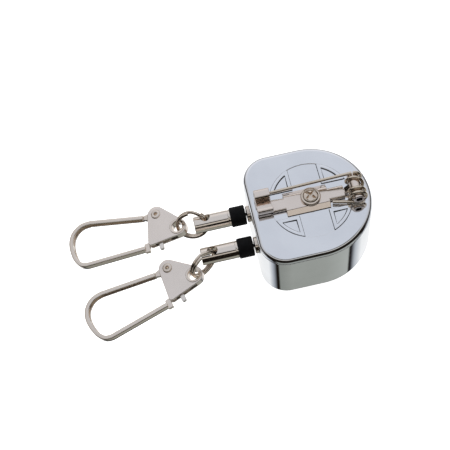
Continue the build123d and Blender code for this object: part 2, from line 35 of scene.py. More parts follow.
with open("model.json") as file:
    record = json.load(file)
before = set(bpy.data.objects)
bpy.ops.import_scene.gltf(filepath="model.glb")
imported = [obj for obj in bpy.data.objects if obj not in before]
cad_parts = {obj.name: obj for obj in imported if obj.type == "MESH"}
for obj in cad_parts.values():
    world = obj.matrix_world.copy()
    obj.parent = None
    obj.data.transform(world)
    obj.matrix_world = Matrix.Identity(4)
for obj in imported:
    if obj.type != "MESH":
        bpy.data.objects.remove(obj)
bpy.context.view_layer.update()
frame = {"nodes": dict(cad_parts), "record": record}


# ---------------------------------------------------------------- small helpers
def frame_matrix(origin, x, z):
    """Matrix in metres of a local frame given in millimetres."""
    x = Vector(x).normalized()
    z = Vector(z).normalized()
    y = z.cross(x)
    m = Matrix((
        (x.x, y.x, z.x, origin[0]),
        (x.y, y.y, z.y, origin[1]),
        (x.z, y.z, z.z, origin[2]),
        (0, 0, 0, 1),
    ))
    return m


WORLD = Matrix.Identity(4)


def object_from(name, verts, faces, at=WORLD, sharp=35, even=False):
    """A smooth object from points in millimetres. even weighs the normals towards large faces."""
    mesh = bpy.data.meshes.new(name)
    mesh.from_pydata([(at @ Vector(v)) * MM for v in verts], [], faces)
    mesh.update()
    obj = bpy.data.objects.new(name, mesh)
    bpy.context.scene.collection.objects.link(obj)
    tidy_normals(obj, sharp, even)
    return obj


def tidy_normals(obj, sharp=35, even=False):
    mesh = obj.data
    mesh.validate()
    mesh.shade_smooth()
    mesh.set_sharp_from_angle(angle=radians(sharp))
    if even:
        mod = obj.modifiers.new("even", "WEIGHTED_NORMAL")
        mod.mode = "FACE_AREA_WITH_ANGLE"
        mod.weight = 90
        mod.keep_sharp = True
        bake(obj)


def bake(obj):
    """Turns an object's modifiers, or a curve, into its own plain mesh."""
    bpy.context.view_layer.update()
    graph = bpy.context.evaluated_depsgraph_get()
    mesh = bpy.data.meshes.new_from_object(
        obj.evaluated_get(graph), preserve_all_data_layers=True, depsgraph=graph)
    mesh.name = obj.name
    if obj.type == "MESH":
        obj.modifiers.clear()
        obj.data = mesh
        return obj
    made = bpy.data.objects.new(obj.name + "_m", mesh)
    made.matrix_world = obj.matrix_world.copy()
    bpy.context.scene.collection.objects.link(made)
    name = obj.name
    bpy.data.objects.remove(obj)
    made.name = name
    return made


def outward(obj):
    import bmesh
    work = bmesh.new()
    work.from_mesh(obj.data)
    bmesh.ops.recalc_face_normals(work, faces=work.faces)
    work.to_mesh(obj.data)
    work.free()
    obj.data.update()
    return obj


def skin(name, rings, at=WORLD, closed=True, ends="caps", sharp=35, even=False):
    """Rings of equally many points joined by quads, with flat or open ends, or with the last ring joined back to the
    first.
    """
    n = len(rings[0])
    verts = [p for ring in rings for p in ring]
    faces = []
    for i in range(len(rings) - 1):
        for j in range(n if closed else n - 1):
            k = (j + 1) % n
            faces.append((i * n + j, i * n + k, (i + 1) * n + k, (i + 1) * n + j))
    if ends == "caps":
        faces.append(tuple(reversed(range(n))))
        faces.append(tuple((len(rings) - 1) * n + j for j in range(n)))
    if ends == "loop":
        for j in range(n):
            k = (j + 1) % n
            faces.append(((len(rings) - 1) * n + j, (len(rings) - 1) * n + k, k, j))
    obj = object_from(name, verts, faces, at, sharp, False)
    outward(obj)
    tidy_normals(obj, sharp, even)
    return obj


def lathe(name, profile, at=WORLD, n=64, closed=False, sharp=35, even=True):
    """profile: (radius, height) pairs about the local Z axis; closed joins its last point to its first."""
    rings = []
    for r, h in profile:
        rings.append([(r * cos(2 * pi * j / n), r * sin(2 * pi * j / n), h) for j in range(n)])
    if closed:
        rings.append(rings[0])
    obj = skin(name, rings, at, ends="none" if closed else "caps", sharp=180)
    if closed:
        import bmesh
        work = bmesh.new()
        work.from_mesh(obj.data)
        bmesh.ops.remove_doubles(work, verts=work.verts, dist=1e-8)
        bmesh.ops.recalc_face_normals(work, faces=work.faces)
        work.to_mesh(obj.data)
        work.free()
    tidy_normals(obj, sharp, even)
    return obj


def rounded(points, radius, steps=4, closed=True):
    """A polyline with its corners rounded. radius may be one number or one per point."""
    out = []
    n = len(points)
    for i, p in enumerate(points):
        r = radius[i] if isinstance(radius, (list, tuple)) else radius
        if r <= 0 or (not closed and i in (0, n - 1)):
            out.append(tuple(p))
            continue
        a = Vector(points[i - 1])
        b = Vector(p)
        c = Vector(points[(i + 1) % n])
        u = (a - b).normalized()
        v = (c - b).normalized()
        angle = u.angle(v)
        if angle > pi - 1e-3:
            out.append(tuple(p))
            continue
        back = min(r / math_tan(angle / 2), 0.49 * (a - b).length, 0.49 * (c - b).length)
        rr = back * math_tan(angle / 2)
        centre = b + (u + v).normalized() * (rr / sin(angle / 2))
        start = b + u * back - centre
        end = b + v * back - centre
        turn = start.angle(end)
        for k in range(steps + 1):
            t = k / steps
            w = start * (sin((1 - t) * turn) / sin(turn)) + end * (sin(t * turn) / sin(turn))
            out.append(tuple(centre + w))
    return out


def math_tan(x):
    return sin(x) / cos(x)


def plate(name, loops, low, high, bevel=0.12, at=WORLD, steps=2, sharp=35):
    """A flat plate with rounded edges: loops[0] is its outline, the others are holes, all in the local plane."""
    curve = bpy.data.curves.new(name, "CURVE")
    curve.dimensions = "2D"
    curve.fill_mode = "BOTH"
    for i, loop in enumerate(loops):
        area = sum(loop[k - 1][0] * loop[k][1] - loop[k][0] * loop[k - 1][1] for k in range(len(loop)))
        points = list(loop)
        if (area > 0) == (i > 0):
            points.reverse()
        spline = curve.splines.new("POLY")
        spline.points.add(len(points) - 1)
        for k, p in enumerate(points):
            spline.points[k].co = (p[0] * MM, p[1] * MM, 0, 1)
        spline.use_cyclic_u = True
    curve.extrude = ((high - low) / 2 - bevel) * MM
    curve.bevel_depth = bevel * MM
    curve.bevel_resolution = steps
    curve.offset = -bevel * MM
    obj = bpy.data.objects.new(name, curve)
    bpy.context.scene.collection.objects.link(obj)
    obj = bake(obj)
    import bmesh
    work = bmesh.new()
    work.from_mesh(obj.data)
    bmesh.ops.remove_doubles(work, verts=work.verts, dist=1e-7)
    work.to_mesh(obj.data)
    work.free()
    move = Matrix.Scale(MM, 4) @ at @ Matrix.Translation((0, 0, (low + high) / 2)) @ Matrix.Scale(1 / MM, 4)
    obj.data.transform(move)
    outward(obj)
    tidy_normals(obj, sharp, True)
    return obj


def circle(x, y, r, n=32, start=0.0, end=2 * pi):
    full = abs(end - start - 2 * pi) < 1e-6
    count = n if full else n + 1
    return [(x + r * cos(start + (end - start) * k / n), y + r * sin(start + (end - start) * k / n))
            for k in range(count)]


def hull(points):
    """Convex hull of 2-D points, anticlockwise."""
    pts = sorted(set((round(p[0], 6), round(p[1], 6)) for p in points))

    def half(seq):
        out = []
        for p in seq:
            while len(out) > 1 and ((out[-1][0] - out[-2][0]) * (p[1] - out[-2][1])
                                    - (out[-1][1] - out[-2][1]) * (p[0] - out[-2][0])) <= 0:
                out.pop()
            out.append(p)
        return out
    return half(pts)[:-1] + half(pts[::-1])[:-1]


def sweep(name, path, section, normals, closed=False, caps=True, at=WORLD, sharp=35, even=False):
    """section (u, v) carried along path; u runs along each point's given normal, v across it."""
    rings = []
    n = len(path)
    path = [Vector(p) for p in path]
    for i, p in enumerate(path):
        a = path[i - 1] if i > 0 or closed else path[i]
        b = path[(i + 1) % n] if i < n - 1 or closed else path[i]
        t = (b - a).normalized()
        u = Vector(normals[i])
        u = (u - t * u.dot(t)).normalized()
        v = t.cross(u)
        sec = section(i / (n - 1)) if callable(section) else section
        rings.append([tuple(p + u * s[0] + v * s[1]) for s in sec])
    return skin(name, rings, at, ends="loop" if closed else ("caps" if caps else "none"), sharp=sharp, even=even)


def round_section(r, n=20):
    return [(r * cos(2 * pi * k / n), r * sin(2 * pi * k / n)) for k in range(n)]


def box_section(w, h, r, steps=3):
    pts = [(-w / 2, -h / 2), (w / 2, -h / 2), (w / 2, h / 2), (-w / 2, h / 2)]
    return rounded(pts, r, steps)


def transport(path, first):
    """Normals carried along a path without twist."""
    path = [Vector(p) for p in path]
    out = []
    u = Vector(first)
    for i in range(len(path)):
        a = path[max(i - 1, 0)]
        b = path[min(i + 1, len(path) - 1)]
        t = (b - a).normalized()
        u = (u - t * u.dot(t)).normalized()
        out.append(u.copy())
    return out


def smooth_curve(points, per=8, tangents=None, closed=False):
    """Catmull-Rom points through the given ones."""
    pts = [Vector(p) for p in points]
    n = len(pts)
    out = []
    for i in range(n if closed else n - 1):
        p1 = pts[i]
        p2 = pts[(i + 1) % n]
        p0 = pts[i - 1] if (i > 0 or closed) else p1 * 2 - p2
        p3 = pts[(i + 2) % n] if (i < n - 2 or closed) else p2 * 2 - p1
        for k in range(per):
            t = k / per
            out.append(0.5 * ((p1 * 2) + (p2 - p0) * t + (p0 * 2 - p1 * 5 + p2 * 4 - p3) * t * t
                              + (p1 * 3 - p0 - p2 * 3 + p3) * t ** 3))
    if not closed:
        out.append(pts[-1])
    return out


def cut(obj, *tools, sharp=35):
    """Takes the tools' shapes out of obj and removes the tools."""
    for tool in tools:
        mod = obj.modifiers.new("cut", "BOOLEAN")
        mod.operation = "DIFFERENCE"
        mod.solver = "EXACT"
        mod.object = tool
        bake(obj)
        bpy.data.objects.remove(tool)
    tidy_normals(obj, sharp, True)
    return obj


def join(name, *objs):
    """One object from several that share a material set."""
    import bmesh
    work = bmesh.new()
    for o in objs:
        work.from_mesh(o.data)
    mesh = bpy.data.meshes.new(name)
    work.to_mesh(mesh)
    work.free()
    obj = bpy.data.objects.new(name, mesh)
    bpy.context.scene.collection.objects.link(obj)
    for o in objs:
        bpy.data.objects.remove(o)
    return obj


def block(name, size, centre, at=WORLD):
    x, y, z = (s / 2 for s in size)
    verts = [(centre[0] + a * x, centre[1] + b * y, centre[2] + c * z)
             for a in (-1, 1) for b in (-1, 1) for c in (-1, 1)]
    faces = [(0, 1, 3, 2), (4, 6, 7, 5), (0, 4, 5, 1), (2, 3, 7, 6), (0, 2, 6, 4), (1, 5, 7, 3)]
    obj = object_from(name, verts, faces, at)
    return outward(obj)


# ---------------------------------------------------------------- materials
def material(name, base, rough, metal=0.0, spec=0.5, coat=0.0, coat_rough=0.05, build=None):
    mat = bpy.data.materials.new(name)
    mat.use_nodes = True
    tree = mat.node_tree
    shader = tree.nodes["Principled BSDF"]
    shader.inputs["Base Color"].default_value = (*base, 1)
    shader.inputs["Roughness"].default_value = rough
    shader.inputs["Metallic"].default_value = metal
    shader.inputs["Specular IOR Level"].default_value = spec
    shader.inputs["Coat Weight"].default_value = coat
    shader.inputs["Coat Roughness"].default_value = coat_rough
    if build:
        build(tree, shader)
    return mat


def noise(tree, scale, detail=3.0, rough=0.5, stretch=None):
    where = tree.nodes.new("ShaderNodeTexCoord")
    fac = tree.nodes.new("ShaderNodeTexNoise")
    fac.inputs["Scale"].default_value = scale
    fac.inputs["Detail"].default_value = detail
    fac.inputs["Roughness"].default_value = rough
    source = where.outputs["Object"]
    if stretch:
        mapping = tree.nodes.new("ShaderNodeMapping")
        mapping.inputs["Scale"].default_value = stretch
        tree.links.new(source, mapping.inputs["Vector"])
        source = mapping.outputs["Vector"]
    tree.links.new(source, fac.inputs["Vector"])
    return fac.outputs["Fac"]


def spread(tree, fac, low, high, a=0.3, b=0.7):
    node = tree.nodes.new("ShaderNodeMapRange")
    node.inputs["From Min"].default_value = a
    node.inputs["From Max"].default_value = b
    node.inputs["To Min"].default_value = low
    node.inputs["To Max"].default_value = high
    tree.links.new(fac, node.inputs["Value"])
    return node.outputs["Result"]


def tint(tree, shader, fac, dark, light, a=0.35, b=0.65):
    ramp = tree.nodes.new("ShaderNodeValToRGB")
    ramp.color_ramp.elements[0].position = a
    ramp.color_ramp.elements[0].color = (*dark, 1)
    ramp.color_ramp.elements[1].position = b
    ramp.color_ramp.elements[1].color = (*light, 1)
    tree.links.new(fac, ramp.inputs["Fac"])
    tree.links.new(ramp.outputs["Color"], shader.inputs["Base Color"])


def bump(tree, shader, fac, strength, distance):
    node = tree.nodes.new("ShaderNodeBump")
    node.inputs["Strength"].default_value = strength
    node.inputs["Distance"].default_value = distance
    tree.links.new(fac, node.inputs["Height"])
    tree.links.new(node.outputs["Normal"], shader.inputs["Normal"])


def plated(dark, light, rough, swing, grain_scale, grain):
    """Plated metal: faint tint and gloss changes, with a fine grain."""
    def build(tree, shader):
        broad = noise(tree, 90, 3)
        tint(tree, shader, broad, dark, light)
        fine = noise(tree, 700, 2)
        tree.links.new(spread(tree, fine, rough, rough + swing), shader.inputs["Roughness"])
        bump(tree, shader, noise(tree, grain_scale, 3), grain, 0.00002)
    return build


NICKEL_DARK = (0.72, 0.63, 0.545)
NICKEL = (0.83, 0.75, 0.675)


def rubber_look(tree, shader):
    tint(tree, shader, noise(tree, 400, 3), (0.0012, 0.0012, 0.0014), (0.003, 0.003, 0.0033))
    tree.links.new(spread(tree, noise(tree, 900, 2), 0.5, 0.66), shader.inputs["Roughness"])
    bump(tree, shader, noise(tree, 2600, 3), 0.25, 0.00004)


def plastic_look(dark, light):
    def build(tree, shader):
        tint(tree, shader, noise(tree, 250, 3), dark, light)
        bump(tree, shader, noise(tree, 1800, 2), 0.15, 0.00003)
    return build


def braid_look(tree, shader):
    where = tree.nodes.new("ShaderNodeTexCoord")
    heights = []
    for turn in (0.7, -0.7):
        mapping = tree.nodes.new("ShaderNodeMapping")
        mapping.inputs["Rotation"].default_value = (0, 0, turn)
        wave = tree.nodes.new("ShaderNodeTexWave")
        wave.inputs["Scale"].default_value = 900
        wave.inputs["Distortion"].default_value = 1.0
        tree.links.new(where.outputs["Object"], mapping.inputs["Vector"])
        tree.links.new(mapping.outputs["Vector"], wave.inputs["Vector"])
        heights.append(wave.outputs["Fac"])
    both = tree.nodes.new("ShaderNodeMath")
    both.operation = "MAXIMUM"
    tree.links.new(heights[0], both.inputs[0])
    tree.links.new(heights[1], both.inputs[1])
    tint(tree, shader, both.outputs["Value"], (0.006, 0.006, 0.007), (0.05, 0.05, 0.055))
    bump(tree, shader, both.outputs["Value"], 0.8, 0.0001)


MATS = {
    "case_chrome": material("case_chrome", (0.8, 0.81, 0.83), 0.05, 1.0,
                            build=plated((0.80, 0.81, 0.82), (0.86, 0.87, 0.885), 0.035, 0.03, 1500, 0.02)),
    "cover_chrome": material("cover_chrome", (0.8, 0.82, 0.86), 0.05, 1.0,
                             build=plated((0.80, 0.815, 0.85), (0.855, 0.87, 0.90), 0.05, 0.04, 1500, 0.02)),
    "inner_plastic": material("inner_plastic", (0.1, 0.1, 0.1), 0.5, build=plastic_look((0.08,) * 3, (0.13,) * 3)),
    "spool_plastic": material("spool_plastic", (0.8, 0.79, 0.76), 0.45,
                              build=plastic_look((0.72, 0.71, 0.68), (0.82, 0.81, 0.78))),
    "post_steel": material("post_steel", (0.6, 0.6, 0.6), 0.3, 1.0,
                           build=plated((0.55, 0.55, 0.55), (0.66, 0.66, 0.66), 0.24, 0.1, 900, 0.2)),
    "spring_steel": material("spring_steel", (0.4, 0.42, 0.46), 0.3, 1.0,
                             build=plated((0.34, 0.36, 0.42), (0.5, 0.52, 0.56), 0.22, 0.1, 900, 0.1)),
    "cord": material("cord", (0.03, 0.03, 0.033), 0.8, build=braid_look),
    "bumper_rubber": material("bumper_rubber", (0.002, 0.002, 0.0022), 0.6, spec=0.12, build=rubber_look),
    "eyelet_nickel": material("eyelet_nickel", NICKEL, 0.12, 1.0,
                              build=plated(NICKEL_DARK, NICKEL, 0.10, 0.05, 400, 0.03)),
    "ferrule_nickel": material("ferrule_nickel", NICKEL, 0.12, 1.0,
                               build=plated((0.78, 0.70, 0.625), (0.84, 0.77, 0.70), 0.07, 0.03, 300, 0.02)),
    "ring_nickel": material("ring_nickel", NICKEL, 0.14, 1.0,
                            build=plated((0.66, 0.57, 0.48), (0.78, 0.69, 0.60), 0.09, 0.05, 400, 0.03)),
    "clip_nickel": material("clip_nickel", NICKEL, 0.26, 1.0,
                            build=plated((0.80, 0.725, 0.665), (0.84, 0.765, 0.705), 0.22, 0.04, 300, 0.02)),
    "clip_eyelet_nickel": material("clip_eyelet_nickel", NICKEL, 0.14, 1.0,
                                   build=plated(NICKEL_DARK, NICKEL, 0.12, 0.1, 1100, 0.1)),
    "clip_rivet_nickel": material("clip_rivet_nickel", NICKEL, 0.16, 1.0,
                                  build=plated(NICKEL_DARK, NICKEL, 0.12, 0.05, 300, 0.03)),
    "loop_nickel": material("loop_nickel", NICKEL, 0.17, 1.0,
                            build=plated((0.76, 0.68, 0.60), (0.82, 0.74, 0.66), 0.10, 0.04, 300, 0.02)),
    "lever_nickel": material("lever_nickel", NICKEL, 0.25, 1.0,
                             build=plated((0.78, 0.73, 0.68), (0.84, 0.79, 0.74), 0.2, 0.05, 300, 0.02)),
    "pin_plate_nickel": material("pin_plate_nickel", NICKEL, 0.2, 1.0,
                                 build=plated((0.78, 0.69, 0.625), (0.84, 0.75, 0.685), 0.12, 0.04, 300, 0.02)),
    "pin_wire_nickel": material("pin_wire_nickel", NICKEL, 0.14, 1.0,
                                build=plated((0.66, 0.57, 0.46), (0.76, 0.67, 0.56), 0.09, 0.05, 400, 0.03)),
    "screw_nickel": material("screw_nickel", NICKEL, 0.16, 1.0,
                             build=plated((0.68, 0.59, 0.50), (0.76, 0.67, 0.58), 0.10, 0.04, 300, 0.03)),
}
# painted shade: a near-black material for the dark lines in the seam's gap and round the foot of the relief
PAINTED_SHADE = material("groove_shadow", (0.02, 0.021, 0.024), 0.5, 0.0, spec=0.2,
                  build=plastic_look((0.014, 0.014, 0.016), (0.026, 0.027, 0.03)))


def place(obj, body, slot, *nodes):
    """Gives a finished piece its material and its body, and hides the CAD nodes it stands for."""
    obj.data.materials.clear()
    obj.data.materials.append(MATS[slot])
    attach(obj, body)
    if nodes:
        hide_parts(*nodes)
    return obj


# CAD nodes that stay as they are keep their shape and take the record's slot
for part in frame["record"]["subparts"]:
    node = frame["nodes"][part["node"]]
    node.data.materials.clear()
    node.data.materials.append(MATS[part["material_slot"]])

# ---------------------------------------------------------------- housing
END_R, FLAT, CORNER, HEIGHT, SEAM = 17.0, 17.0, 7.6, 20.0, 18.1


def d_ring(inset, z):
    r = END_R - inset
    flat = FLAT - inset
    c = CORNER - inset
    pts = [(r * cos(a), r * sin(a)) for a in (radians(-90 + 180 * k / 64) for k in range(65))]
    pts += [(-(flat - c) * k / 4, r) for k in range(1, 4)]
    pts += [(-flat + c + c * cos(a), r - c + c * sin(a)) for a in (radians(90 + 90 * k / 20) for k in range(21))]
    pts += [(-flat, (r - c) * (1 - 2 * k / 6)) for k in range(1, 6)]
    pts += [(-flat + c + c * cos(a), c - r + c * sin(a)) for a in (radians(180 + 90 * k / 20) for k in range(21))]
    pts += [(-(flat - c) * (1 - k / 4), -r) for k in range(1, 4)]
    return [(x, y, z) for x, y in pts]


def round_ring(r, z):
    return [(r * cos(atan2(y, x)), r * sin(atan2(y, x)), z) for x, y, _ in d_ring(0.5, 0)]


rings = [round_ring(11.9, 0.3), round_ring(11.98, 0.24), round_ring(12.0, 0.08), round_ring(12.1, 0.0)]
rings += [d_ring(1.0, 0.0)]
rings += [d_ring(0.9 * (1 - sin(radians(a))), 0.9 * (1 - cos(radians(a)))) for a in range(0, 91, 10)]
rings += [d_ring(0, z) for z in (1.3, 6, 12, 17.6)]
rings += [d_ring(0, 17.98), d_ring(0.03, 18.04), d_ring(0.1, 18.07), d_ring(0.9, 18.07)]
place(skin("case_body", rings, sharp=50, even=True), "housing", "case_chrome", "case_shell")

low = SEAM + 0.18
rings = [d_ring(0.9, low), d_ring(0.1, low), d_ring(0.03, low + 0.03), d_ring(0, low + 0.09)]
rings += [d_ring(0, low + 0.2), d_ring(0, HEIGHT - 1.48)]
rings += [d_ring(1.45 * (1 - cos(radians(a))), HEIGHT - 1.45 * (1 - sin(radians(a)))) for a in range(0, 91, 9)]
rings += [d_ring(1.6, HEIGHT), round_ring(11.62, HEIGHT), round_ring(11.55, HEIGHT - 0.02)]
rings += [round_ring(11.5, HEIGHT - 0.08), round_ring(11.5, HEIGHT - 0.22), round_ring(11.48, HEIGHT - 0.25)]
cover = skin("cover_body", rings, sharp=50, even=True)

rims = []
for quarter in range(4):
    a0 = atan2(4.2, sqrt(11.5 ** 2 - 4.2 ** 2))
    arc = circle(0, 0, 11.42, 20, a0, pi / 2 - a0)
    outline = rounded([(4.2, 4.2)] + arc, [0.15, 0.15] + [0] * (len(arc) - 2) + [0.15], 3)
    b0 = atan2(5.15, sqrt(10.55 ** 2 - 5.15 ** 2))
    arc = circle(0, 0, 10.55, 16, b0, pi / 2 - b0)
    pocket = rounded([(5.15, 5.15)] + arc, [0.1, 0.1] + [0] * (len(arc) - 2) + [0.1], 3)
    turn = Matrix.Rotation(quarter * pi / 2, 4, "Z")
    rims.append(plate(f"rim_{quarter}", [outline, pocket], HEIGHT - 0.3, HEIGHT + 0.16, 0.09, turn))
cover_rims = join("cover_relief", *rims)
tidy_normals(cover_rims, 35, True)
place(cover, "housing", "cover_chrome", "back_cover")
place(cover_rims, "housing", "cover_chrome")

# dark lines of painted shade: the gap of the seam and the foot of the relief
seam = skin("cover_seam", [d_ring(0.16, 17.95), d_ring(0.16, 18.4)], ends="none")
place(seam, "housing", "case_chrome")
seam.data.materials[0] = PAINTED_SHADE
lines = []
for quarter in range(4):
    turn = Matrix.Rotation(quarter * pi / 2, 4, "Z")
    a0 = atan2(4.08, sqrt(11.5 ** 2 - 4.08 ** 2))
    arc = circle(0, 0, 11.47, 20, a0, pi / 2 - a0)
    outer_line = [(4.08, 4.08)] + arc
    inner_line = [(4.3, 4.3)] + circle(0, 0, 11.3, 20, a0 + 0.02, pi / 2 - a0 - 0.02)
    lines.append(plate(f"line_{quarter}", [outer_line, inner_line], HEIGHT - 0.30, HEIGHT - 0.235, 0.004, turn, 0))
    b0 = atan2(5.05, sqrt(10.65 ** 2 - 5.05 ** 2))
    outer_line = [(5.05, 5.05)] + circle(0, 0, 10.65, 16, b0, pi / 2 - b0)
    inner_line = [(5.37, 5.37)] + circle(0, 0, 10.33, 16, b0 + 0.035, pi / 2 - b0 - 0.035)
    lines.append(plate(f"line_b{quarter}", [outer_line, inner_line], HEIGHT - 0.30, HEIGHT - 0.235, 0.004, turn, 0))
relief_lines = join("relief_lines", *lines)
place(relief_lines, "housing", "cover_chrome")
relief_lines.data.materials[0] = PAINTED_SHADE

# ---------------------------------------------------------------- pin on the back
PLATE_TOP, GAUGE = 21.2, 0.7
COIL_R, COIL_X, COIL_Z, WIRE = 2.15, 12.5, 22.9, 0.44
across = frame_matrix((0, 0, 0), (0, 1, 0), (1, 0, 0))
along_y = frame_matrix((0, 0, 0), (-1, 0, 0), (0, 1, 0))


def ribbon(points, t):
    """Outline of a strip of thickness t round a centre line."""
    pts = [Vector(p) for p in points]
    left = []
    right = []
    for i, p in enumerate(pts):
        a = pts[max(i - 1, 0)]
        b = pts[min(i + 1, len(pts) - 1)]
        d = (b - a).normalized()
        n = Vector((-d.y, d.x))
        left.append(tuple(p + n * t / 2))
        right.append(tuple(p - n * t / 2))
    return left + right[::-1]


arch = rounded([(-3.4, 19.8), (-2.0, PLATE_TOP - GAUGE / 2), (2.0, PLATE_TOP - GAUGE / 2), (3.4, 19.8)],
               [0, 0.8, 0.8, 0], 6, closed=False)
wide = plate("pin_plate_wide", [ribbon(arch, GAUGE)], -7.3, 5.0, 0.13, across)
pieces = [wide]
for x0, x1 in ((-11.0, -7.1), (4.8, 9.4)):
    channel = rounded([(-1.6, 20.05), (-1.6, PLATE_TOP - 0.3), (1.6, PLATE_TOP - 0.3), (1.6, 20.05)],
                      [0, 0.45, 0.45, 0], 5, closed=False)
    pieces.append(plate(f"pin_neck_{x1}", [ribbon(channel, 0.6)], x0, x1, 0.1, across))
catch_line = rounded([(-1.1, 22.5), (-1.62, 22.65), (-1.62, 20.85), (4.65, 20.85), (4.65, 23.5), (2.55, 23.5),
                      (2.3, 23.2)], [0, 0.3, 0.55, 0.8, 0.75, 0.3, 0], 6, closed=False)
pieces.append(plate("pin_catch", [ribbon(catch_line, 0.62)], -15.1, -10.8, 0.14, across))
tongue = [(8.9, 20.5), (10.1, 20.5), (11.75, 21.5), (11.5, 23.4), (9.5, PLATE_TOP), (8.9, PLATE_TOP)]
pieces.append(plate("pin_tongue", [[(-p[0], p[1]) for p in rounded(tongue, 0.3, 3)]], -0.75, 0.75, 0.1, along_y))
barrel_at = frame_matrix((COIL_X, 0, COIL_Z), (1, 0, 0), (0, -1, 0))
br = COIL_R - WIRE - 0.08
y0, y1 = 4.3 + WIRE, -2.65 - WIRE
pieces.append(lathe("pin_barrel", [(0.9, y1 + 0.1), (1.0, y1), (br - 0.12, y1), (br, y1 + 0.12),
                                   (br, y0 - 0.12), (br - 0.12, y0), (1.0, y0), (0.9, y0 - 0.1)],
                    barrel_at, 40, closed=True))
plate_obj = join("pin_plate_body", *pieces)
tidy_normals(plate_obj, 35, False)
place(plate_obj, "housing", "pin_plate_nickel", "pin_plate")

coil = []
turns = (1.0, 0.5, 2.0)
gap = 0.75 + WIRE + 0.1
count = 180
for i in range(count + 1):
    turned = sum(turns) * i / count
    if turned < 1.0:
        y = 2.65 + (gap - 2.65) * turned
    elif turned < 1.5:
        s = (turned - 1.0) / 0.5
        y = gap - 2 * gap * s
    else:
        y = -gap + (-4.25 + gap) * (turned - 1.5) / 2.0
    a = pi / 2 - 2 * pi * turned
    coil.append(Vector((COIL_X + COIL_R * cos(a), y, COIL_Z + COIL_R * sin(a))))
normals = [Vector((p.x - COIL_X, 0, p.z - COIL_Z)) for p in coil]
wire = sweep("pin_coil_wire", coil, round_section(WIRE, 18), normals, sharp=60)
leg_end = Vector((5.6, -1.9 - WIRE - 0.25, COIL_Z - COIL_R))
leg_path = [coil[-1], coil[-1].lerp(leg_end, 0.5), leg_end]
leg = sweep("pin_coil_leg", leg_path, round_section(WIRE, 18), transport(leg_path, (0, 1, 0)), sharp=60)
ball = lathe("pin_coil_ball", [(WIRE * cos(radians(a)), WIRE * sin(radians(a))) for a in range(-88, 89, 11)],
             Matrix.Translation(coil[-1]), 18)
coil_obj = join("pin_coil_body", wire, leg, ball)
tidy_normals(coil_obj, 60)
place(coil_obj, "housing", "pin_wire_nickel", "pin_coil")

root = Vector((COIL_X - 0.35, 2.65, COIL_Z + COIL_R))
tip = Vector((-13.4, 3.65, 21.95))
reach = (tip - root).length
needle_path = [root + (tip - root) * (k / 40) for k in range(41)]


def needle_section(t):
    past = max(0.0, (t * reach - (reach - 4.0)) / 4.0)
    return round_section(WIRE + (0.07 - WIRE) * past ** 1.2, 18)


needle = sweep("needle_wire", needle_path, needle_section, transport(needle_path, (0, 1, 0)), sharp=60)
place(needle, "needle", "pin_wire_nickel", "pin_needle")

head = [(0.02, 21.1), (2.72, 21.1), (2.8, 21.2), (2.8, 21.85), (2.75, 22.05), (2.6, 22.22), (2.4, 22.28),
        (2.2, 22.2), (2.12, 22.28)]
head += [(2.08 * cos(radians(a)), 22.3 + 0.65 * sin(radians(a))) for a in range(4, 89, 7)] + [(0.02, 22.95)]
screw = lathe("screw_head", head, n=72)
cross = [(-1.75, -0.36), (-0.42, -0.42), (-0.36, -1.75), (0.36, -1.75), (0.42, -0.42), (1.75, -0.36),
         (1.75, 0.36), (0.42, 0.42), (0.36, 1.75), (-0.36, 1.75), (-0.42, 0.42), (-1.75, 0.36)]
slot_rings = [[(p[0] * s, p[1] * s, z) for p in cross] for s, z in ((0.55, 21.9), (1.0, 22.75), (1.04, 23.4))]
slots = skin("screw_slots", slot_rings)
slots.data.transform(Matrix.Rotation(radians(38), 4, "Z"))
screw = cut(screw, slots)
place(screw, "housing", "screw_nickel", "pin_screw")

# ---------------------------------------------------------------- tethers, rings and clips
LEAN = {1: 24.0, -1: 5.0}
SWING = {1: 10.0, -1: -34.0}
DROP = {1: 9.0, -1: 27.0}
TURN = {1: -3.5, -1: 12.8}
SLOPE = {1: 12.2, -1: 11.5}
OUT_Y, OUT_Z = 5.1, 10.0
RING_R, RING_SEAT = 4.3, 0.39
RIVET = (-5.8, 5.65)
CLIP_H, PLATE_T = 2.4, 0.5


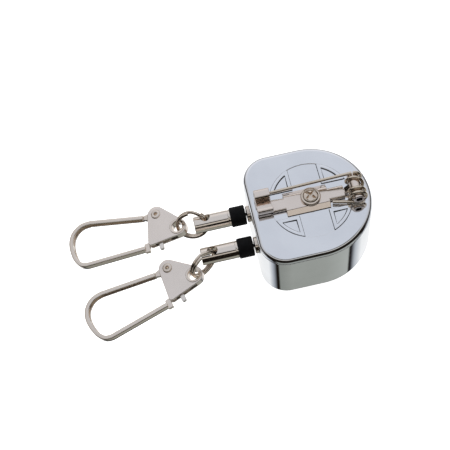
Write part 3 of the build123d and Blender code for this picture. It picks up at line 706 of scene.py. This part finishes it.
def make_tether(side, word):
    at = frame_matrix((0, side * OUT_Y, OUT_Z), (0, 1, 0), (-1, 0, 0))
    eyelet = lathe(f"eyelet_{word}", [(0.95, 17.5), (1.1, 17.6), (1.95, 17.6), (2.2, 17.56), (2.35, 17.42),
                                      (2.35, 17.02), (1.95, 16.98), (1.95, 16.0), (0.95, 16.0)], at, 48, closed=True)
    place(eyelet, "housing", "eyelet_nickel", f"outlet_eyelet_{word}")

    bump_ring = [(0.52, 22.2), (2.5, 22.25)]
    bump_ring += [(2.57 + 0.3 * sin(radians(a)), 21.95 + 0.3 * cos(radians(a))) for a in range(0, 91, 15)]
    bump_ring += [(2.57 + 0.3 * cos(radians(a)), 18.2 - 0.3 * sin(radians(a))) for a in range(0, 91, 15)]
    bump_ring += [(0.52, 17.95)]
    bumper = lathe(f"bumper_{word}_body", bump_ring, at, 64, closed=True)
    place(bumper, f"tether_{word}", "bumper_rubber", f"bumper_{word}")

    tube = [(0.52, 22.26), (2.3, 22.26), (2.45, 22.36), (2.45, 22.78), (2.38, 22.86), (2.38, 22.94), (2.45, 23.02)]
    tube += [(2.45, 32.65), (2.36, 32.82), (2.28, 32.85), (1.8, 32.85), (1.65, 32.72), (1.65, 23.95), (0.52, 23.95)]
    ferrule = lathe(f"ferrule_{word}_tube", tube, at, 96, closed=True)
    tilt = radians(LEAN[side])
    up = Vector((0, sin(tilt), cos(tilt)))
    hole = Vector((-29.45, side * OUT_Y, OUT_Z))
    drill = lathe("drill", [(1.5, -4), (1.5, 4)], frame_matrix(hole, (1, 0, 0), up), 48, even=False)
    ferrule = cut(ferrule, drill)
    place(ferrule, f"tether_{word}", "ferrule_nickel", f"ferrule_{word}")

    # the cord across the gap, from the outlet into the bumper
    path = [(-16.2 - 0.2 * k, side * OUT_Y, OUT_Z) for k in range(16)]
    cord = sweep(f"cord_span_{word}", path, round_section(0.45, 14), [(0, 1, 0)] * len(path), sharp=60)
    cord.data.materials.append(MATS["cord"])
    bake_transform(cord)
    return hole, up


def make_ring(word, centre, far, up):
    normal = up.cross(far).normalized()
    path = []
    out = []
    jog = radians(50)
    count = 150
    for i in range(count + 1):
        turned = (4 * pi - jog) * i / count
        step = min(1, max(0, (turned - (2 * pi - jog)) / jog))
        rise = 0.80 * (step * step * (3 - 2 * step) - 0.5)
        a = radians(132) + turned
        radial = far * cos(a) + up * sin(a)
        path.append(centre + radial * RING_R + normal * rise)
        out.append(radial)
    ring = sweep(f"ring_{word}_wire", path, box_section(0.86, 0.76, 0.24, 4), out, sharp=50)
    place(ring, f"ring_{word}", "ring_nickel", f"split_ring_{word}")


def channel_section(t):
    """A channel open to the inside of the loop; it closes to a flat strip at the nose."""
    w, h, web, r = 1.25, 2.2, 0.38, 0.3
    depth = (w - web) * (1 - 0.85 * max(0.0, 1 - abs(t - 0.5) / 0.16))
    pts = [(-w / 2, -h / 2), (w / 2, -h / 2), (w / 2, -h / 2 + web), (w / 2 - depth, -h / 2 + web),
           (w / 2 - depth, h / 2 - web), (w / 2, h / 2 - web), (w / 2, h / 2), (-w / 2, h / 2)]
    return rounded(pts, [r, 0.16, 0.16, 0.05, 0.05, 0.16, 0.16, r], 3)


def make_clip(word, at):
    half = CLIP_H / 2
    inside = half - PLATE_T
    rx, ry = RIVET
    eye_out = 1.55 + 0.32

    outline = hull(circle(rx, ry, 2.6, 64) + circle(0, 0, 2.65, 64) + circle(-8.3, -2.8, 0.85, 32))
    body = plate(f"clip_{word}_plates", [outline], -half, half, 0.16, at)
    gap_box = block("gap", (40, 40, 2 * inside), (-20.4, 0, 0), at)
    core = lathe("core", [(2.15, -inside), (2.15, inside)], at, 48, even=False)
    eye = lathe("eye", [(eye_out + 0.01, -4), (eye_out + 0.01, 4)], at, 48, even=False)
    rivet_hole = lathe("rivet_hole", [(0.86, -4), (0.86, 4)], at @ Matrix.Translation((rx, ry, 0)), 32, even=False)
    body = cut(body, gap_box, core, eye, rivet_hole)
    place(body, f"clip_{word}", "clip_nickel", f"clip_body_{word}")

    lip = eye_out + 0.38
    ring = [(1.55, -1.42 + 0.28), (1.6, -1.42 + 0.1), (1.75, -1.42), (lip - 0.08, -1.42), (lip, -1.35), (lip, -1.21),
            (eye_out, -1.2), (eye_out, 1.2), (lip, 1.21), (lip, 1.35), (lip - 0.08, 1.42), (1.75, 1.42),
            (1.6, 1.42 - 0.1), (1.55, 1.42 - 0.28)]
    eyelet = lathe(f"clip_{word}_eye", ring, at, 64, closed=True)
    place(eyelet, f"clip_{word}", "clip_eyelet_nickel", f"clip_eyelet_{word}")

    bead = []
    for sign in (-1, 1):
        arc = [(0.45, sign * 1.35), (0.5, sign * 1.52), (0.62, sign * 1.6), (0.95, sign * 1.6), (1.1, sign * 1.56),
               (1.25, sign * 1.5), (1.36, sign * 1.38), (1.4, sign * 1.21), (0.85, sign * 1.2)]
        bead += arc if sign < 0 else arc[::-1]
    rivet = lathe(f"clip_{word}_rivet", bead, at @ Matrix.Translation((rx, ry, 0)), 48, closed=True)
    pin = lathe("pin", [(0.45, -1.15), (0.45, 1.15)], at @ Matrix.Translation((-3.55, -1.55, 0)), 24, even=False)
    both = join(f"clip_{word}_pins", rivet, pin)
    tidy_normals(both, 35, True)
    place(both, f"clip_{word}", "clip_rivet_nickel", f"clip_rivet_{word}", f"clip_pin_{word}")

    a = Vector((rx - 4.1, ry + 0.25))
    b = Vector((rx - 20.2, ry + 3.3))
    c = Vector((rx - 22.4, ry - 9.95))
    d = Vector((rx - 4.5, ry - 9.65))
    t0 = (b - a) * 0.18
    t1 = (d - c) * 0.14
    bend = [b - t0, b, Vector((rx - 23.4, ry + 3.0)), Vector((rx - 25.9, ry + 1.0)), Vector((rx - 26.85, ry - 2.2)),
            Vector((rx - 26.2, ry - 6.4)), Vector((rx - 24.6, ry - 9.1)), c, c + t1]
    curve = smooth_curve([(p.x, p.y, 0) for p in bend], 10)[10:-10]
    path = [(a.x + (b.x - a.x) * k / 16, a.y + (b.y - a.y) * k / 16, 0) for k in range(16)]
    path += [tuple(p) for p in curve]
    path += [(c.x + (d.x - c.x) * k / 18, c.y + (d.y - c.y) * k / 18, 0) for k in range(1, 19)]
    inward = []
    for i, p in enumerate(path):
        q = Vector(path[min(i + 1, len(path) - 1)]) - Vector(path[max(i - 1, 0)])
        inward.append(Vector((-q.y, q.x, 0)))
    wire = sweep("loop_wire", path, channel_section, inward, sharp=40, at=at)
    ear = hull(circle(rx, ry, 1.75, 40) + circle(a.x + 0.1, a.y, 0.62, 24))
    tab = plate("loop_tab", [ear, circle(rx, ry, 0.9, 32)], -0.55, 0.55, 0.12, at)
    stop = rounded([(d.x - 0.25, d.y - 1.25), (d.x + 1.35, d.y - 1.25), (d.x + 1.35, d.y + 0.7),
                    (d.x + 3.0, d.y + 0.7), (d.x + 3.0, d.y + 1.6), (d.x + 0.8, d.y + 1.6), (d.x - 0.25, d.y + 1.45)],
                   0.18, 3)
    stop_obj = plate("loop_stop", [stop], -0.55, 0.55, 0.12, at)
    loop = join(f"loop_{word}_channel", wire, tab, stop_obj)
    tidy_normals(loop, 40, False)
    place(loop, f"gate_{word}", "loop_nickel", f"clip_loop_{word}")

    px, py = -3.55, -1.55
    arm = hull(circle(px, py, 0.95, 32) + circle(px - 4.5, py - 0.15, 0.5, 24))
    nub = rounded([(px - 2.575, py - 3.85), (px - 1.325, py - 3.85), (px - 1.325, py), (px - 2.575, py)],
                  [0.5, 0.5, 0, 0], 5)
    lever = join(f"lever_{word}_arm", plate("arm", [arm, circle(px, py, 0.5, 24)], -0.5, 0.5, 0.1, at),
                 plate("nub", [nub], -0.5, 0.5, 0.12, at))
    tidy_normals(lever, 35, False)
    place(lever, f"latch_{word}", "lever_nickel", f"clip_lever_{word}")


for side, word in ((1, "upper"), (-1, "lower")):
    hole, up = make_tether(side, word)
    tilt = radians(LEAN[side])
    level = Vector((0, cos(tilt), -sin(tilt)))
    turn = radians(SWING[side])
    far = Vector((-1, 0, 0)) * cos(turn) + level * sin(turn)
    centre = hole + far * (RING_R - RING_SEAT)
    make_ring(word, centre, far, up)
    down = radians(DROP[side])
    eye_at = centre + (far * cos(down) - up * sin(down)) * RING_R
    plan = radians(TURN[side])
    slope = radians(SLOPE[side])
    along = Vector((cos(plan), sin(plan), 0))
    clip_x = along * cos(slope) + Vector((0, 0, 1)) * sin(slope)
    clip_z = Vector((0, 0, 1)) * cos(slope) - along * sin(slope)
    make_clip(word, frame_matrix(eye_at, clip_x, clip_z))

# ---------------------------------------------------------------- studio
scene = bpy.context.scene
scene.view_settings.view_transform = "Standard"
floor_mesh = bpy.data.meshes.new("floor")
floor_mesh.from_pydata([(-2, -2, 0), (2, -2, 0), (2, 2, 0), (-2, 2, 0)], [], [(0, 1, 2, 3)])
floor = bpy.data.objects.new("floor", floor_mesh)
scene.collection.objects.link(floor)
floor_mat = bpy.data.materials.new("floor_paper")
floor_mat.use_nodes = True
tree = floor_mat.node_tree
tree.nodes["Principled BSDF"].inputs["Base Color"].default_value = (0.9, 0.9, 0.9, 1)
tree.nodes["Principled BSDF"].inputs["Roughness"].default_value = 1.0
tree.nodes["Principled BSDF"].inputs["Specular IOR Level"].default_value = 0.0
tree.nodes["Principled BSDF"].inputs["Emission Color"].default_value = (1, 1, 1, 1)
tree.nodes["Principled BSDF"].inputs["Emission Strength"].default_value = 0.72
floor_mesh.materials.append(floor_mat)

world = bpy.data.worlds.new("studio")
scene.world = world
world.use_nodes = True
wt = world.node_tree
wt.nodes.clear()


def wnode(kind, **inputs):
    n = wt.nodes.new(kind)
    for k, v in inputs.items():
        n.inputs[int(k[1:]) if k[0] == "i" and k[1:].isdigit() else k].default_value = v
    return n


def wmath(op, a, b=None):
    n = wt.nodes.new("ShaderNodeMath")
    n.operation = op
    for i, v in enumerate((a, b)):
        if v is None:
            continue
        if isinstance(v, (int, float)):
            n.inputs[i].default_value = v
        else:
            wt.links.new(v, n.inputs[i])
    return n.outputs[0]


def wramp(fac, stops):
    n = wt.nodes.new("ShaderNodeValToRGB")
    els = n.color_ramp.elements
    els[0].position, els[0].color = stops[0][0], (*stops[0][1], 1)
    els[1].position, els[1].color = stops[-1][0], (*stops[-1][1], 1)
    for pos, col in stops[1:-1]:
        e = els.new(pos)
        e.color = (*col, 1)
    wt.links.new(fac, n.inputs[0])
    return n.outputs[0]


def wmix(fac, a, b):
    n = wt.nodes.new("ShaderNodeMix")
    n.data_type = "RGBA"
    wt.links.new(fac, n.inputs[0])
    for i, v in ((6, a), (7, b)):
        if isinstance(v, tuple):
            n.inputs[i].default_value = (*v, 1)
        else:
            wt.links.new(v, n.inputs[i])
    return n.outputs[2]


coord = wt.nodes.new("ShaderNodeTexCoord")
sep = wt.nodes.new("ShaderNodeSeparateXYZ")
wt.links.new(coord.outputs["Generated"], sep.inputs[0])
dx, dy, dz = sep.outputs
height_share = wmath("MULTIPLY_ADD", dz, 0.5)
wt.nodes[-1].inputs[2].default_value = 0.5
azimuth = wmath("ARCTAN2", dx, wmath("MULTIPLY", dy, -1.0))
azimuth_share = wmath("MULTIPLY_ADD", azimuth, 0.5 / pi)
wt.nodes[-1].inputs[2].default_value = 0.5

WHITE = (1.0, 1.0, 1.0)
BLACK = (0.0, 0.0, 0.0)
DARK = (0.010, 0.0075, 0.005)
BROWN = (0.10, 0.080, 0.062)
TOP = (0.66, 0.69, 0.75)
front = wramp(height_share, [(0.0, DARK), (0.33, DARK), (0.76, DARK), (0.80, (0.60, 0.58, 0.55)),
                             (0.875, (0.66, 0.64, 0.61)), (0.895, DARK), (0.93, DARK), (0.95, (0.62, 0.64, 0.68)),
                             (0.985, TOP), (1.0, TOP)])
back = wramp(height_share, [(0.0, (0.9, 0.9, 0.9)), (0.45, (0.9, 0.9, 0.9)), (0.47, (0.14, 0.13, 0.12)),
                            (0.53, (0.14, 0.13, 0.12)), (0.58, (0.75, 0.75, 0.77)), (0.80, (0.85, 0.86, 0.9)),
                            (0.94, TOP), (1.0, TOP)])
sides_col = wramp(height_share, [(0.0, (0.9, 0.9, 0.9)), (0.40, (0.9, 0.9, 0.9)), (0.44, BROWN),
                                 (0.47, DARK), (0.60, DARK), (0.66, (0.42, 0.41, 0.40)), (0.78, (0.6, 0.6, 0.62)),
                                 (0.95, TOP), (1.0, TOP)])
facing = wramp(azimuth_share, [(0.0, BLACK), (0.22, BLACK), (0.30, WHITE), (0.70, WHITE), (0.78, BLACK), (1.0, BLACK)])
behind = wramp(azimuth_share, [(0.0, WHITE), (0.06, WHITE), (0.14, BLACK), (0.86, BLACK), (0.94, WHITE), (1.0, WHITE)])
upper = wmix(behind, wmix(facing, sides_col, front), back)
below = wramp(azimuth_share, [(0.0, (0.95, 0.95, 0.95)), (0.24, (0.95, 0.96, 0.97)), (0.30, (0.42, 0.45, 0.50)),
                              (0.345, DARK), (0.368, DARK), (0.385, (0.27, 0.285, 0.265)),
                              (0.5, (0.33, 0.345, 0.32)), (0.62, (0.39, 0.41, 0.385)), (0.682, (0.44, 0.46, 0.44)),
                              (0.692, DARK), (0.706, (0.03, 0.03, 0.035)), (0.735, (0.5, 0.53, 0.57)),
                              (0.79, (0.95, 0.96, 0.97)), (1.0, (0.95, 0.95, 0.95))])
foot = wramp(height_share, [(0.0, BLACK), (0.010, BLACK), (0.035, WHITE), (1.0, WHITE)])
below = wmix(foot, DARK, below)
is_low = wramp(height_share, [(0.0, WHITE), (0.25, WHITE), (0.31, BLACK), (1.0, BLACK)])
seen = wmix(is_low, upper, below)
rays = wt.nodes.new("ShaderNodeLightPath")
glossy = wt.nodes.new("ShaderNodeBackground")
wt.links.new(seen, glossy.inputs[0])
even_light = wt.nodes.new("ShaderNodeBackground")
even_light.inputs[0].default_value = (0.97, 0.98, 1.0, 1)
even_light.inputs[1].default_value = 1.0
choose = wt.nodes.new("ShaderNodeMixShader")
wt.links.new(rays.outputs["Is Glossy Ray"], choose.inputs[0])
wt.links.new(even_light.outputs[0], choose.inputs[1])
wt.links.new(glossy.outputs[0], choose.inputs[2])
out = wt.nodes.new("ShaderNodeOutputWorld")
wt.links.new(choose.outputs[0], out.inputs[0])
floor.visible_glossy = False

lamp = bpy.data.lights.new("softbox", "AREA")
lamp.shape = "RECTANGLE"
lamp.size, lamp.size_y = 0.5, 0.4
lamp.energy = 1.2
lamp_obj = bpy.data.objects.new("softbox", lamp)
lamp_obj.location = (-0.12, 0.25, 0.5)
lamp_obj.rotation_euler = (Vector(lamp_obj.location)).to_track_quat("Z", "Y").to_euler()
scene.collection.objects.link(lamp_obj)
lamp_obj.visible_glossy = False

# ---------------------------------------------------------------- camera
camera = bpy.data.cameras.new("camera")
camera.sensor_width = 36.0
camera.lens = 83.87
camera.clip_start = 0.005
camera.clip_end = 20
cam_obj = bpy.data.objects.new("camera", camera)
right = Vector((0.97566, -0.20721, -0.07174))
up_v = Vector((0.21697, 0.86496, 0.45252))
back_v = Vector((-0.03172, -0.45707, 0.88886))
cam_obj.matrix_world = Matrix((
    (right.x, up_v.x, back_v.x, -0.03374),
    (right.y, up_v.y, back_v.y, -0.13343),
    (right.z, up_v.z, back_v.z, 0.27569),
    (0, 0, 0, 1),
))
scene.collection.objects.link(cam_obj)
scene.camera = cam_obj
